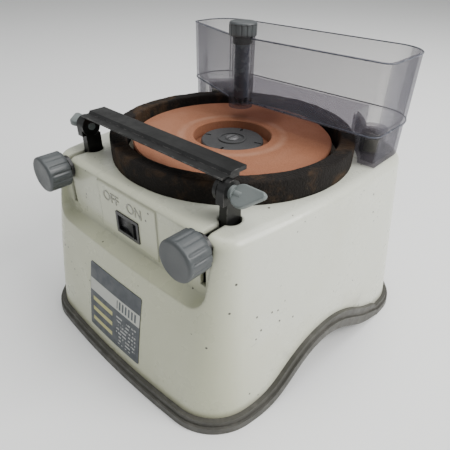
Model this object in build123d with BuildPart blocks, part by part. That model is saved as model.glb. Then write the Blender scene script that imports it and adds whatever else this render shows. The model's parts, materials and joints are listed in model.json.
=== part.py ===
from build123d import *
from math import cos, radians, sin
import os

# Horizontal wet grinding sharpener with a 180 mm stone. Millimetres, +Z up, +X to the operator's
# right, +Y away from the operator. The origin is on the table, under the stone's spindle axis.

# ---- Housing: flared form, given by its plan outline at the table and at the deck ----
DECK_Z = 168.0
DECK_THICKNESS = 4.0
WALL = 3.5
DECK_FRONT_HALF = 104.2
DECK_REAR_HALF = 122.4
SIDE_BOW = 8.6
DECK_FRONT_Y = 121.5
DECK_REAR_Y = 121.0
FLARE_FRONT_HALF = 13.3
FLARE_REAR_HALF = 20.6
FLARE_FRONT = 33.5
FLARE_REAR = 3.0
FRONT_BOW = 8.0
FRONT_BOW_DECK = 0.4
FRONT_CORNER_DECK = 18.0
FRONT_CORNER_TABLE = 44.5
REAR_CORNER_DECK = 42.0
REAR_CORNER_TABLE = 40.0
MID_Z = 112.0
FRONT_FLARE_POWER = 0.8
DECK_EDGE_RADIUS = 9.0

# ---- Front recess with the switch and the clamp slots ----
PANEL_Y = -121.0
RECESS_HALF_X = 94.5
RECESS_LOW_Z = 114.5
RECESS_TOP_Z = 200.0
RECESS_CORNER = 15.0
LEDGE_SLOPE = 0.3
PLATE_LEFT = -38.0
PLATE_RIGHT = 36.0
PLATE_LOW_Z = 119.0
PLATE_HIGH_Z = 164.0
PLATE_PROUD = 1.2

# ---- Stone basin and spindle ----
BASIN_RADIUS = 97.0
BASIN_FLOOR_Z = 146.0
BASIN_WALL = 3.5
STONE_RADIUS = 90.0
STONE_TOP_Z = 179.5
STONE_LOW_Z = 154.5
STONE_RECESS_RADIUS = 36.0
STONE_RECESS_Z = 168.0
STONE_BORE = 10.0
STUD_RADIUS = 6.0
SHAFT_RADIUS = 7.45
SEAT_RADIUS = 7.5
STUD_TOP_Z = 177.0
DISC_RADIUS = 28.8
DISC_TOP_Z = 174.8
DISC_RING_RADIUS = 13.0
FLANGE_RADIUS = 32.0
FLANGE_LOW_Z = 150.8
RING_INNER = 96.0
RING_OUTER = 109.7
RING_TOP_Z = 187.0

# ---- Belt drive and motor ----
MOTOR_X = -58.0
MOTOR_Y = 54.0
BELT_GAP = 0.1
BELT_THICKNESS = 2.2
BELT_LOW_Z = 88.2
BELT_HIGH_Z = 95.8
PULLEY_LOW_Z = 86.0
PULLEY_HIGH_Z = 98.0
BIG_GROOVE = 58.5
SMALL_GROOVE = 10.5
PULLEY_LIP = 3.2
MOTOR_RADIUS = 42.0
STATOR_LOW_Z = 30.0
STATOR_HIGH_Z = 62.0
BELL_LOW_Z = 14.0
BELL_HIGH_Z = 80.0
MOTOR_SHAFT = 5.0

# ---- Rubber trim and the hand arch in each side: place along Y, lower edge and upper edge ----
TRIM_STEP_SHARE = 0.55
TRIM_PROUD = 5.5
TRIM_PROUD_UPPER = 3.6
TRIM_LIP = 3.0
TRIM_REACH = 5.0
ARCH = (
    (-122, 0, 11), (-104, 0.3, 11.6), (-88, 4.2, 17), (-70, 15.6, 29.8), (-50, 29.7, 42),
    (-28, 36.4, 48.4), (-8, 34, 48.6), (22, 19, 38), (50, 6.6, 22.5), (70, 0.6, 12.5), (84, 0, 10.5),
)

# ---- Base tray ----
TRAY_HALF_X = 104.0
TRAY_FRONT_Y = -126.0
TRAY_REAR_Y = 108.0
TRAY_LOW_Z = 6.0
TRAY_SHEET = 1.5
TRAY_FLANGE_Z = 62.0
TRAY_CORNER = 25.0
FLOOR_Z = TRAY_LOW_Z + TRAY_SHEET

# ---- Tool rest ----
POST_X = 84.0
POST_THICKNESS = 7.0
POST_FRONT_Y = -101.7
POST_REAR_Y = -87.3
POST_Y = (POST_FRONT_Y + POST_REAR_Y) / 2
SLOT_WIDTH = 5.6
SLOT_EYE_RADIUS = 8.6
SLOT_LOW_Z = 124.0
SLOT_HIGH_Z = 190.0
TILT_Y = -97.0
TILT_Z = 191.5
KNOB_Z = 159.5
KNOB_RADIUS = 15.5
BAR_HALF_X = 83.0
BAR_UNDER_Z = 199.9
BAR_TOP_Z = 203.2
BAR_STRIP_Z = 201.1
BAR_FRONT_Y = -102.0
BAR_REAR_Y = -78.0

# ---- Water tank and drip valve ----
TANK_RIM_Z = 255.0
TANK_FLOOR_Z = 199.0
TANK_UNDER_Z = 196.5
TANK_FOOT_Z = 168.4
TANK_WALL = 2.5
TUBE_X = -26.0
TUBE_Y = 40.0
TUBE_RADIUS = 11.6
TUBE_BORE = 9.3
TUBE_LOW_Z = 190.8
TUBE_SEAT_Z = 193.3
PEG_X = 96.0
PEG_Y = 84.0
PEG_RADIUS = 9.4

PANEL = Plane(origin=(0, PANEL_Y, 0), x_dir=(1, 0, 0), z_dir=(0, -1, 0))
PANEL_BACK = Plane(origin=(0, PANEL_Y + WALL, 0), x_dir=(1, 0, 0), z_dir=(0, -1, 0))
SIDE = Plane(origin=(0, 0, 0), x_dir=(0, 1, 0), z_dir=(1, 0, 0))

os.makedirs("parts", exist_ok=True)


def finish(builder, name):
    """Label one finished piece and write its STEP file."""
    builder.part.label = name
    export_step(builder.part, f"parts/{name}.step")


def outline(height, inset):
    """Plan outline of the housing at one height, moved inwards by inset."""
    drop = 1 - height / DECK_Z
    front_half = DECK_FRONT_HALF + FLARE_FRONT_HALF * drop - inset
    rear_half = DECK_REAR_HALF + FLARE_REAR_HALF * drop - inset
    belly = (front_half + rear_half) / 2 + SIDE_BOW
    bow = FRONT_BOW_DECK + (FRONT_BOW - FRONT_BOW_DECK) * drop
    front = inset - DECK_FRONT_Y - FLARE_FRONT * drop**FRONT_FLARE_POWER
    rear = DECK_REAR_Y + FLARE_REAR * drop - inset
    middle = (front + rear) / 2
    front_radius = FRONT_CORNER_DECK + (FRONT_CORNER_TABLE - FRONT_CORNER_DECK) * drop - inset
    rear_radius = REAR_CORNER_DECK + (REAR_CORNER_TABLE - REAR_CORNER_DECK) * drop - inset
    with BuildSketch(Plane.XY.offset(height)) as shape:
        with BuildLine():
            ThreePointArc((-front_half, front + bow), (0, front), (front_half, front + bow))
            ThreePointArc((front_half, front + bow), (belly, middle), (rear_half, rear))
            Line((rear_half, rear), (-rear_half, rear))
            ThreePointArc((-rear_half, rear), (-belly, middle), (-front_half, front + bow))
        make_face()
        fillet(shape.vertices().group_by(Axis.Y)[0], front_radius)
        fillet(shape.vertices().group_by(Axis.Y)[-1], rear_radius)
    return shape.sketch


def hull(inset, top=DECK_Z):
    """The housing's flared form as a solid, from the table up to top."""
    return loft([outline(height, inset) for height in (0.0, MID_Z, top)])


def edge_points(share, rise):
    """Points along the arched edge: a share of the way up the trim, then a plain rise."""
    return [(y, low + share * (high - low) + rise) for y, low, high in ARCH]


def arch_band(lower_points, upper_points):
    """Slab right across the machine between two lines that follow the arched edge."""
    level = ((1, 0), (1, 0))
    reach = 200.0
    with BuildSketch(SIDE) as shape:
        with BuildLine():
            Spline(lower_points, tangents=level)
            Spline(upper_points, tangents=level)
            Polyline(
                lower_points[0], (-reach, lower_points[0][1]), (-reach, upper_points[0][1]), upper_points[0]
            )
            Polyline(
                lower_points[-1], (reach, lower_points[-1][1]), (reach, upper_points[-1][1]), upper_points[-1]
            )
        make_face()
    return extrude(shape.sketch, amount=reach, both=True)


def recess_cutter(plane, grow):
    """Front recess, grown by the wall for its inner face. Its ledge slopes down to the front."""
    height = RECESS_TOP_Z - RECESS_LOW_Z + grow
    half = RECESS_HALF_X + grow
    with BuildSketch(plane) as shape:
        with Locations((0, RECESS_TOP_Z - height / 2)):
            Rectangle(2 * half, height)
        fillet(shape.vertices().group_by(Axis.Z)[0], RECESS_CORNER + grow)
    return extrude(shape.sketch, amount=60, dir=(0, -1, -LEDGE_SLOPE))


outer_form = hull(0.0)
inner_form = hull(WALL, DECK_Z - DECK_THICKNESS)
recess = recess_cutter(PANEL, 0.0)
recess_wall = recess_cutter(PANEL_BACK, WALL)
cavity = inner_form - recess_wall
above_edge = arch_band(edge_points(0, TRIM_LIP), edge_points(0, 400.0))

# ---- Housing shell ----
BOSS_SPOTS = ((-112, -92), (112, -92), (-125, 92), (125, 92))
with BuildPart() as boss_blanks:
    with BuildSketch(Plane.XY.offset(TRAY_FLANGE_Z)):
        with Locations(*BOSS_SPOTS):
            Circle(5.0)
    extrude(amount=80)
bosses = boss_blanks.part & hull(1.0)

with BuildPart() as housing_shell:
    add(outer_form)
    fillet(housing_shell.faces().sort_by(Axis.Z)[-1].edges(), DECK_EDGE_RADIUS)
    add(recess, mode=Mode.SUBTRACT)
    add(cavity, mode=Mode.SUBTRACT)
    add(bosses)
    with BuildSketch(Plane.XY.offset(BASIN_FLOOR_Z - BASIN_WALL)):
        Circle(BASIN_RADIUS + BASIN_WALL)
    extrude(amount=DECK_Z - BASIN_FLOOR_Z + BASIN_WALL)
    with BuildSketch(Plane.XY.offset(BASIN_FLOOR_Z)):
        Circle(BASIN_RADIUS)
    extrude(amount=60, mode=Mode.SUBTRACT)
    with BuildSketch(Plane.XY.offset(BASIN_FLOOR_Z - 10)):
        Circle(20.1)
        with Locations((62, 62)):
            Circle(3.6)
        with PolarLocations(28, 4, 45):
            Circle(2.2)
    extrude(amount=20, mode=Mode.SUBTRACT)
    # drain spout under the basin floor
    with BuildSketch(Plane.XY.offset(128)):
        with Locations((62, 62)):
            Circle(5.0)
            Circle(3.6, mode=Mode.SUBTRACT)
    extrude(amount=BASIN_FLOOR_Z - BASIN_WALL - 128)
    # pegs that place the tank
    with BuildSketch(Plane.XY.offset(DECK_Z - 1)):
        with Locations((PEG_X, PEG_Y), (-PEG_X, PEG_Y)):
            Circle(PEG_RADIUS)
    extrude(amount=18)
    # raised plate around the switch, with a bead along its lower edge
    with BuildSketch(PANEL):
        with Locations(((PLATE_LEFT + PLATE_RIGHT) / 2, (PLATE_LOW_Z + PLATE_HIGH_Z) / 2)):
            Rectangle(PLATE_RIGHT - PLATE_LEFT, PLATE_HIGH_Z - PLATE_LOW_Z)
    extrude(amount=PLATE_PROUD)
    with BuildSketch(PANEL):
        with Locations((-0.5, 134.5)):
            Rectangle(26.6, 17.6)
    extrude(amount=10, both=True, mode=Mode.SUBTRACT)
    # slots for the two rest brackets: open at the front, ending in a round eye around the post
    with BuildSketch(Plane.XY.offset(DECK_Z - 10)):
        for side in (-1, 1):
            with Locations((side * POST_X, (POST_Y - 140) / 2)):
                Rectangle(SLOT_WIDTH, POST_Y + 140)
            with Locations((side * POST_X, POST_Y)):
                Circle(SLOT_EYE_RADIUS)
    extrude(amount=20, mode=Mode.SUBTRACT)
    with BuildSketch(PANEL):
        for side in (-1, 1):
            with Locations((side * POST_X, (SLOT_LOW_Z + SLOT_HIGH_Z) / 2)):
                Rectangle(SLOT_WIDTH, SLOT_HIGH_Z - SLOT_LOW_Z)
    extrude(amount=12, both=True, mode=Mode.SUBTRACT)
    # cord and drain outlets in the rear wall
    with BuildSketch(Plane.XZ.offset(-DECK_REAR_Y)):
        with Locations((40, 80)):
            Circle(7.0)
        with Locations((62, 104)):
            Circle(6.9)
    extrude(amount=15, both=True, mode=Mode.SUBTRACT)
    with BuildSketch(Plane.XY.offset(TRAY_FLANGE_Z)):
        with Locations(*BOSS_SPOTS):
            Circle(2.0)
    extrude(amount=16, mode=Mode.SUBTRACT)
    add(above_edge, mode=Mode.INTERSECT)
finish(housing_shell, "housing_shell")

# ---- Rubber trim along the lower edge: two steps outside, a lip under the shell ----
lower_step = hull(-TRIM_PROUD) & arch_band(edge_points(0, 0), edge_points(TRIM_STEP_SHARE, 0))
upper_step = hull(-TRIM_PROUD_UPPER) & arch_band(edge_points(0, 0), edge_points(1, 0))
shell_space = hull(-0.05) & arch_band(edge_points(0, TRIM_LIP - 0.1), edge_points(1, 60.0))
trim_hollow = hull(TRIM_REACH)
with BuildPart() as rubber_trim:
    add(lower_step)
    add(upper_step)
    add(shell_space, mode=Mode.SUBTRACT)
    add(trim_hollow, mode=Mode.SUBTRACT)
finish(rubber_trim, "rubber_trim")

# ---- Base tray, a deep drawn sheet that closes the underside ----
TRAY_MID_Y = (TRAY_FRONT_Y + TRAY_REAR_Y) / 2
TRAY_DEPTH = TRAY_REAR_Y - TRAY_FRONT_Y
MOUNT_SPOTS = [
    (MOTOR_X + 50 * cos(radians(a)), MOTOR_Y + 50 * sin(radians(a))) for a in (45, 135, 225, 315)
]
with BuildPart() as base_tray:
    with BuildSketch(Plane.XY.offset(TRAY_LOW_Z)):
        with Locations((0, TRAY_MID_Y)):
            RectangleRounded(2 * TRAY_HALF_X, TRAY_DEPTH, TRAY_CORNER)
    extrude(amount=TRAY_FLANGE_Z - TRAY_LOW_Z - 0.1)
    with BuildSketch(Plane.XY.offset(TRAY_FLANGE_Z - TRAY_SHEET - 0.1)):
        add(outline(TRAY_FLANGE_Z, WALL + 0.8).moved(Location((0, 0, -TRAY_FLANGE_Z))))
    extrude(amount=TRAY_SHEET)
    with BuildSketch(Plane.XY.offset(FLOOR_Z)):
        with Locations((0, TRAY_MID_Y)):
            RectangleRounded(
                2 * (TRAY_HALF_X - TRAY_SHEET), TRAY_DEPTH - 2 * TRAY_SHEET, TRAY_CORNER - TRAY_SHEET
            )
    extrude(amount=80, mode=Mode.SUBTRACT)
    with BuildSketch(Plane.XY.offset(TRAY_FLANGE_Z - 5)):
        with Locations(*BOSS_SPOTS):
            Circle(2.4)
    extrude(amount=10, mode=Mode.SUBTRACT)
    # air slots in the floor under the motor
    with BuildSketch(Plane.XY.offset(TRAY_LOW_Z - 1)):
        with Locations((MOTOR_X, MOTOR_Y)):
            with PolarLocations(20, 6):
                SlotOverall(16, 4)
    extrude(amount=5, mode=Mode.SUBTRACT)
finish(base_tray, "base_tray")

with BuildPart() as housing_screws:
    with BuildSketch(Plane.XY.offset(TRAY_FLANGE_Z - TRAY_SHEET - 0.1 - 3)):
        with Locations(*BOSS_SPOTS):
            Circle(4.0)
    extrude(amount=3)
    with BuildSketch(Plane.XY.offset(TRAY_FLANGE_Z - TRAY_SHEET - 0.1)):
        with Locations(*BOSS_SPOTS):
            Circle(2.0)
    extrude(amount=15)
finish(housing_screws, "housing_screws")

# ---- Rating label, a thin sheet that follows the bowed front ----
LABEL_LEFT = -39.0
LABEL_RIGHT = 33.5
LABEL_LOW_Z = 21.5
LABEL_HIGH_Z = 90.0
with BuildPart() as label_block:
    with BuildSketch(PANEL):
        with Locations(((LABEL_LEFT + LABEL_RIGHT) / 2, (LABEL_LOW_Z + LABEL_HIGH_Z) / 2)):
            RectangleRounded(LABEL_RIGHT - LABEL_LEFT, LABEL_HIGH_Z - LABEL_LOW_Z, 2.0)
    extrude(amount=60)
label_sheet = label_block.part & (hull(-0.5) - hull(-0.03))
with BuildPart() as front_label:
    add(label_sheet)
finish(front_label, "front_label")

# ---- Splash ring around the stone ----
with BuildPart() as splash_ring:
    with BuildSketch(Plane.XY.offset(DECK_Z + 0.05)):
        Circle(RING_OUTER)
        Circle(RING_INNER, mode=Mode.SUBTRACT)
    extrude(amount=RING_TOP_Z - DECK_Z - 0.05)
    fillet(splash_ring.edges().group_by(Axis.Z)[-1], 1.5)
finish(splash_ring, "splash_ring")


def turned(points):
    """Solid of revolution about Z from a closed profile of (radius, height) points."""
    with BuildSketch(Plane.XZ) as profile:
        with BuildLine():
            Polyline(*points, close=True)
        make_face()
    return revolve(profile.sketch, Axis.Z)


def disc(x, y, radius, low, high):
    """Upright round bar."""
    with BuildSketch(Plane.XY.offset(low)) as profile:
        with Locations((x, y)):
            Circle(radius)
    return extrude(profile.sketch, amount=high - low)


# ---- Spindle bearing housing, hung under the basin floor ----
bearing_housing_form = turned([
    (13.0, 149.0), (20.0, 149.0), (20.0, 142.5), (34.0, 142.5), (34.0, 138.5), (21.0, 138.5),
    (21.0, 104.0), (16.0, 104.0), (16.0, 113.0), (13.0, 113.0), (13.0, 132.0), (16.0, 132.0),
    (16.0, 141.0), (13.0, 141.0),
])
with BuildPart() as bearing_housing:
    add(bearing_housing_form)
    with BuildSketch(Plane.XY.offset(136)):
        with PolarLocations(28, 4, 45):
            Circle(1.7)
    extrude(amount=10, mode=Mode.SUBTRACT)
finish(bearing_housing, "bearing_housing")

for bearing_name, bearing_low in (("spindle_bearing_lower", 104.0), ("spindle_bearing_upper", 132.0)):
    with BuildPart() as bearing:
        with BuildSketch(Plane.XY.offset(bearing_low)):
            Circle(16.0)
            Circle(SEAT_RADIUS, mode=Mode.SUBTRACT)
        extrude(amount=9.0)
        with BuildSketch(Plane.XY.offset(bearing_low)):
            Circle(13.0)
            Circle(10.2, mode=Mode.SUBTRACT)
        extrude(amount=0.6, mode=Mode.SUBTRACT)
        with BuildSketch(Plane.XY.offset(bearing_low + 8.4)):
            Circle(13.0)
            Circle(10.2, mode=Mode.SUBTRACT)
        extrude(amount=0.6, mode=Mode.SUBTRACT)
    finish(bearing, bearing_name)

shaft_seal_form = turned([
    (7.54, 142.0), (13.0, 142.0), (13.0, 148.5), (10.0, 148.5), (9.0, 146.0), (7.54, 146.0),
])
with BuildPart() as shaft_seal:
    add(shaft_seal_form)
finish(shaft_seal, "shaft_seal")

with BuildPart() as bearing_screws:
    with BuildSketch(Plane.XY.offset(135.4)):
        with PolarLocations(28, 4, 45):
            Circle(3.0)
    extrude(amount=3.1)
    with BuildSketch(Plane.XY.offset(138.5)):
        with PolarLocations(28, 4, 45):
            Circle(1.7)
    extrude(amount=8.5)
finish(bearing_screws, "bearing_screws")

# ---- Rotating spindle group ----
spindle_shaft_form = turned([
    (0, 79.0), (4.0, 79.0), (4.0, 86.0), (6.5, 86.0), (6.5, 98.0), (SHAFT_RADIUS, 98.0),
    (SHAFT_RADIUS, FLANGE_LOW_Z + 3.0), (STUD_RADIUS, FLANGE_LOW_Z + 3.0), (STUD_RADIUS, STUD_TOP_Z - 1),
    (STUD_RADIUS - 1, STUD_TOP_Z), (0, STUD_TOP_Z),
])
with BuildPart() as spindle_shaft:
    add(spindle_shaft_form)
    with BuildSketch(Plane.XY.offset(STUD_TOP_Z - 1.5)):
        Rectangle(1.6, 14)
    extrude(amount=3, mode=Mode.SUBTRACT)
finish(spindle_shaft, "spindle_shaft")

drive_flange_form = turned([
    (SHAFT_RADIUS, 149.5), (12.0, 149.5), (12.0, FLANGE_LOW_Z), (23.0, FLANGE_LOW_Z), (23.0, 147.2),
    (25.5, 147.2), (25.5, FLANGE_LOW_Z), (FLANGE_RADIUS, 151.8), (FLANGE_RADIUS, STONE_LOW_Z),
    (STUD_RADIUS, STONE_LOW_Z), (STUD_RADIUS, FLANGE_LOW_Z + 3.0), (SHAFT_RADIUS, FLANGE_LOW_Z + 3.0),
])
with BuildPart() as drive_flange:
    add(drive_flange_form)
finish(drive_flange, "drive_flange")

grinding_stone_form = turned([
    (STONE_BORE, STONE_LOW_Z), (STONE_RADIUS - 1, STONE_LOW_Z), (STONE_RADIUS, STONE_LOW_Z + 1),
    (STONE_RADIUS, STONE_TOP_Z - 1), (STONE_RADIUS - 1, STONE_TOP_Z),
    (STONE_RECESS_RADIUS + 0.8, STONE_TOP_Z), (STONE_RECESS_RADIUS, STONE_TOP_Z - 0.8),
    (STONE_RECESS_RADIUS, STONE_RECESS_Z), (STONE_BORE, STONE_RECESS_Z),
])
with BuildPart() as grinding_stone:
    add(grinding_stone_form)
finish(grinding_stone, "grinding_stone")

stone_bush_form = turned([
    (STUD_RADIUS, STONE_LOW_Z), (STONE_BORE, STONE_LOW_Z), (STONE_BORE, STONE_RECESS_Z),
    (STUD_RADIUS, STONE_RECESS_Z),
])
with BuildPart() as stone_bush:
    add(stone_bush_form)
finish(stone_bush, "stone_bush")

stone_clamp_disc_form = turned([
    (STUD_RADIUS, STONE_RECESS_Z), (DISC_RADIUS, STONE_RECESS_Z), (DISC_RADIUS, DISC_TOP_Z - 1),
    (DISC_RADIUS - 1, DISC_TOP_Z), (DISC_RING_RADIUS, DISC_TOP_Z), (DISC_RING_RADIUS, DISC_TOP_Z + 1.2),
    (DISC_RING_RADIUS - 2, DISC_TOP_Z + 1.2), (DISC_RING_RADIUS - 2, DISC_TOP_Z + 0.2),
    (STUD_RADIUS, DISC_TOP_Z + 0.2),
])
with BuildPart() as stone_clamp_disc:
    add(stone_clamp_disc_form)
    with BuildSketch(Plane.XY.offset(DISC_TOP_Z - 3)):
        with PolarLocations(DISC_RADIUS - 4, 4, 20):
            SlotOverall(7, 2.2)
    extrude(amount=6, mode=Mode.SUBTRACT)
finish(stone_clamp_disc, "stone_clamp_disc")

spindle_pulley_form = turned([
    (6.5, PULLEY_LOW_Z), (14.0, PULLEY_LOW_Z), (14.0, 90.0), (54.0, 90.0), (54.0, PULLEY_LOW_Z),
    (BIG_GROOVE + PULLEY_LIP, PULLEY_LOW_Z), (BIG_GROOVE + PULLEY_LIP, 87.4), (BIG_GROOVE, 87.8),
    (BIG_GROOVE, 96.2), (BIG_GROOVE + PULLEY_LIP, 96.6), (BIG_GROOVE + PULLEY_LIP, PULLEY_HIGH_Z),
    (54.0, PULLEY_HIGH_Z), (54.0, 93.5), (14.0, 93.5), (14.0, PULLEY_HIGH_Z), (6.5, PULLEY_HIGH_Z),
])
with BuildPart() as spindle_pulley:
    add(spindle_pulley_form)
    with BuildSketch(Plane.XY.offset(85)):
        with PolarLocations(34, 6):
            Circle(9.0)
    extrude(amount=20, mode=Mode.SUBTRACT)
finish(spindle_pulley, "spindle_pulley")

with BuildPart() as pulley_nut:
    with BuildSketch(Plane.XY.offset(80)):
        RegularPolygon(7.5, 6)
        Circle(4.0, mode=Mode.SUBTRACT)
    extrude(amount=6)
finish(pulley_nut, "pulley_nut")


def belt_loop(grow):
    """Plan outline of the belt's path, grown from the groove radii."""
    with BuildSketch(Plane.XY.offset(BELT_LOW_Z)) as shape:
        with BuildLine():
            CenterArc((0, 0), BIG_GROOVE + grow, 0, 360)
            CenterArc((MOTOR_X, MOTOR_Y), SMALL_GROOVE + grow, 0, 360)
        make_hull()
    return shape.sketch


belt_outside = belt_loop(BELT_GAP + BELT_THICKNESS)
belt_inside = belt_loop(BELT_GAP)
with BuildPart() as drive_belt:
    with BuildSketch(Plane.XY.offset(BELT_LOW_Z)):
        add(belt_outside.moved(Location((0, 0, -BELT_LOW_Z))))
        add(belt_inside.moved(Location((0, 0, -BELT_LOW_Z))), mode=Mode.SUBTRACT)
    extrude(amount=BELT_HIGH_Z - BELT_LOW_Z)
finish(drive_belt, "drive_belt")

# ---- Motor, drawn about its own axis and then moved into place ----
MOTOR_PLACE = Location((MOTOR_X, MOTOR_Y, 0))


def place(shape):
    """Move a piece drawn about the motor's axis to the motor's place."""
    return shape.moved(MOTOR_PLACE)


motor_pulley_form = place(turned([
    (MOTOR_SHAFT, PULLEY_LOW_Z), (SMALL_GROOVE + PULLEY_LIP, PULLEY_LOW_Z),
    (SMALL_GROOVE + PULLEY_LIP, 87.4), (SMALL_GROOVE, 87.8), (SMALL_GROOVE, 96.2),
    (SMALL_GROOVE + PULLEY_LIP, 96.6), (SMALL_GROOVE + PULLEY_LIP, PULLEY_HIGH_Z),
    (MOTOR_SHAFT, PULLEY_HIGH_Z),
]))
with BuildPart() as motor_pulley:
    add(motor_pulley_form)
finish(motor_pulley, "motor_pulley")

motor_shaft_form = place(turned([
    (0, 15.0), (MOTOR_SHAFT, 15.0), (MOTOR_SHAFT, 99.5), (4.0, 100.5), (0, 100.5),
]))
with BuildPart() as motor_shaft:
    add(motor_shaft_form)
finish(motor_shaft, "motor_shaft")

rotor_core_form = place(turned([
    (MOTOR_SHAFT, STATOR_LOW_Z - 1), (8.0, STATOR_LOW_Z - 1), (8.0, STATOR_LOW_Z),
    (21.6, STATOR_LOW_Z), (21.6, STATOR_HIGH_Z), (MOTOR_SHAFT, STATOR_HIGH_Z),
]))
with BuildPart() as rotor_core:
    add(rotor_core_form)
finish(rotor_core, "rotor_core")

with BuildPart() as fan_blank:
    with BuildSketch(Plane.XY.offset(STATOR_HIGH_Z)):
        Circle(8.0)
        Circle(MOTOR_SHAFT, mode=Mode.SUBTRACT)
    extrude(amount=7)
    with BuildSketch(Plane.XY.offset(STATOR_HIGH_Z)):
        Circle(19.5)
        Circle(7.5, mode=Mode.SUBTRACT)
    extrude(amount=1.2)
    with BuildSketch(Plane.XY.offset(STATOR_HIGH_Z)):
        with PolarLocations(13.5, 9):
            Rectangle(12.5, 1.2)
    extrude(amount=7)
with BuildPart() as rotor_fan:
    add(place(fan_blank.part))
finish(rotor_fan, "rotor_fan")

with BuildPart() as core_blank:
    with BuildSketch(Plane.XY.offset(STATOR_LOW_Z)):
        Circle(MOTOR_RADIUS - 1)
        Circle(22.0, mode=Mode.SUBTRACT)
        with PolarLocations(26.0, 16):
            SlotOverall(7, 3, mode=Mode.SUBTRACT)
        with PolarLocations(37.5, 4, 0):
            Circle(2.3, mode=Mode.SUBTRACT)
    extrude(amount=STATOR_HIGH_Z - STATOR_LOW_Z)
with BuildPart() as stator_core:
    add(place(core_blank.part))
finish(stator_core, "stator_core")

with BuildPart() as winding_blank:
    for coil_low in (STATOR_LOW_Z - 8.1, STATOR_HIGH_Z + 0.1):
        with BuildSketch(Plane.XY.offset(coil_low)):
            Circle(34.0)
            Circle(24.0, mode=Mode.SUBTRACT)
        extrude(amount=8)
    fillet(winding_blank.edges().filter_by(GeomType.CIRCLE), 2.5)
with BuildPart() as stator_windings:
    add(place(winding_blank.part))
finish(stator_windings, "stator_windings")


def bell(points):
    """Motor end bell with four vents and its through-bolt holes."""
    form = turned(points)
    with BuildPart() as cup:
        add(form)
        with BuildSketch(Plane.XY.offset(0)):
            with PolarLocations(24, 4, 45):
                Circle(5.0)
            with PolarLocations(37.5, 4, 0):
                Circle(2.3)
        extrude(amount=100, mode=Mode.SUBTRACT)
    return cup.part


lower_bell_form = bell([
    (11.0, 16.0), (7.0, 16.0), (7.0, BELL_LOW_Z), (41.0, BELL_LOW_Z), (MOTOR_RADIUS, BELL_LOW_Z + 1),
    (MOTOR_RADIUS, STATOR_LOW_Z), (35.0, STATOR_LOW_Z), (35.0, 17.5), (14.0, 17.5), (14.0, 21.0),
    (11.0, 21.0),
])
with BuildPart() as bell_lugs:
    with BuildSketch(Plane.XY.offset(BELL_LOW_Z)):
        with PolarLocations(46, 4, 45):
            SlotOverall(20, 12)
        with PolarLocations(50, 4, 45):
            Circle(2.3, mode=Mode.SUBTRACT)
    extrude(amount=3)
lug_form = bell_lugs.part - disc(0, 0, MOTOR_RADIUS - 3, 0, 100)
with BuildPart() as motor_bottom_bell:
    add(place(lower_bell_form))
    add(place(lug_form))
finish(motor_bottom_bell, "motor_bottom_bell")

motor_top_bell_form = place(bell([
    (11.0, 72.0), (14.0, 72.0), (14.0, 76.5), (35.0, 76.5), (35.0, STATOR_HIGH_Z),
    (MOTOR_RADIUS, STATOR_HIGH_Z), (MOTOR_RADIUS, 79.0), (41.0, BELL_HIGH_Z), (7.0, BELL_HIGH_Z),
    (7.0, 78.0), (11.0, 78.0),
]))
with BuildPart() as motor_top_bell:
    add(motor_top_bell_form)
finish(motor_top_bell, "motor_top_bell")

with BuildPart() as bearing_blank:
    for seat_low in (16.0, 72.5):
        with BuildSketch(Plane.XY.offset(seat_low)):
            Circle(11.0)
            Circle(MOTOR_SHAFT + 0.05, mode=Mode.SUBTRACT)
        extrude(amount=5)
with BuildPart() as motor_bearings:
    add(place(bearing_blank.part))
finish(motor_bearings, "motor_bearings")

with BuildPart() as bolt_blank:
    with BuildSketch(Plane.XY.offset(BELL_LOW_Z - 2.5)):
        with PolarLocations(37.5, 4, 0):
            RegularPolygon(4.0, 6)
    extrude(amount=2.5)
    with BuildSketch(Plane.XY.offset(BELL_LOW_Z)):
        with PolarLocations(37.5, 4, 0):
            Circle(2.2)
    extrude(amount=BELL_HIGH_Z - BELL_LOW_Z)
    with BuildSketch(Plane.XY.offset(BELL_HIGH_Z)):
        with PolarLocations(37.5, 4, 0):
            RegularPolygon(4.0, 6)
    extrude(amount=2.5)
with BuildPart() as motor_bolts:
    add(place(bolt_blank.part))
finish(motor_bolts, "motor_bolts")

with BuildPart() as motor_mounts:
    with BuildSketch(Plane.XY.offset(FLOOR_Z)):
        with Locations(*MOUNT_SPOTS):
            Circle(6.5)
            Circle(2.2, mode=Mode.SUBTRACT)
    extrude(amount=BELL_LOW_Z - FLOOR_Z)
finish(motor_mounts, "motor_mounts")

with BuildPart() as mount_screws:
    with BuildSketch(Plane.XY.offset(FLOOR_Z)):
        with Locations(*MOUNT_SPOTS):
            Circle(2.1)
    extrude(amount=BELL_LOW_Z + 3 - FLOOR_Z)
    with BuildSketch(Plane.XY.offset(BELL_LOW_Z + 3)):
        with Locations(*MOUNT_SPOTS):
            Circle(4.0)
    extrude(amount=2.6)
finish(mount_screws, "mount_screws")

# ---- Run capacitor, terminal block ----
CAP_X = 70.0
CAP_Y = 0.0
CAP_RADIUS = 17.0
run_capacitor_form = disc(CAP_X, CAP_Y, CAP_RADIUS, FLOOR_Z, 63.0)
with BuildPart() as run_capacitor:
    add(run_capacitor_form)
    fillet(run_capacitor.edges().group_by(Axis.Z)[-1], 2.0)
    with BuildSketch(Plane.XY.offset(63.0)):
        with Locations((CAP_X - 5, CAP_Y), (CAP_X + 5, CAP_Y)):
            Rectangle(1.0, 6.0)
    extrude(amount=7)
finish(run_capacitor, "run_capacitor")

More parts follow.
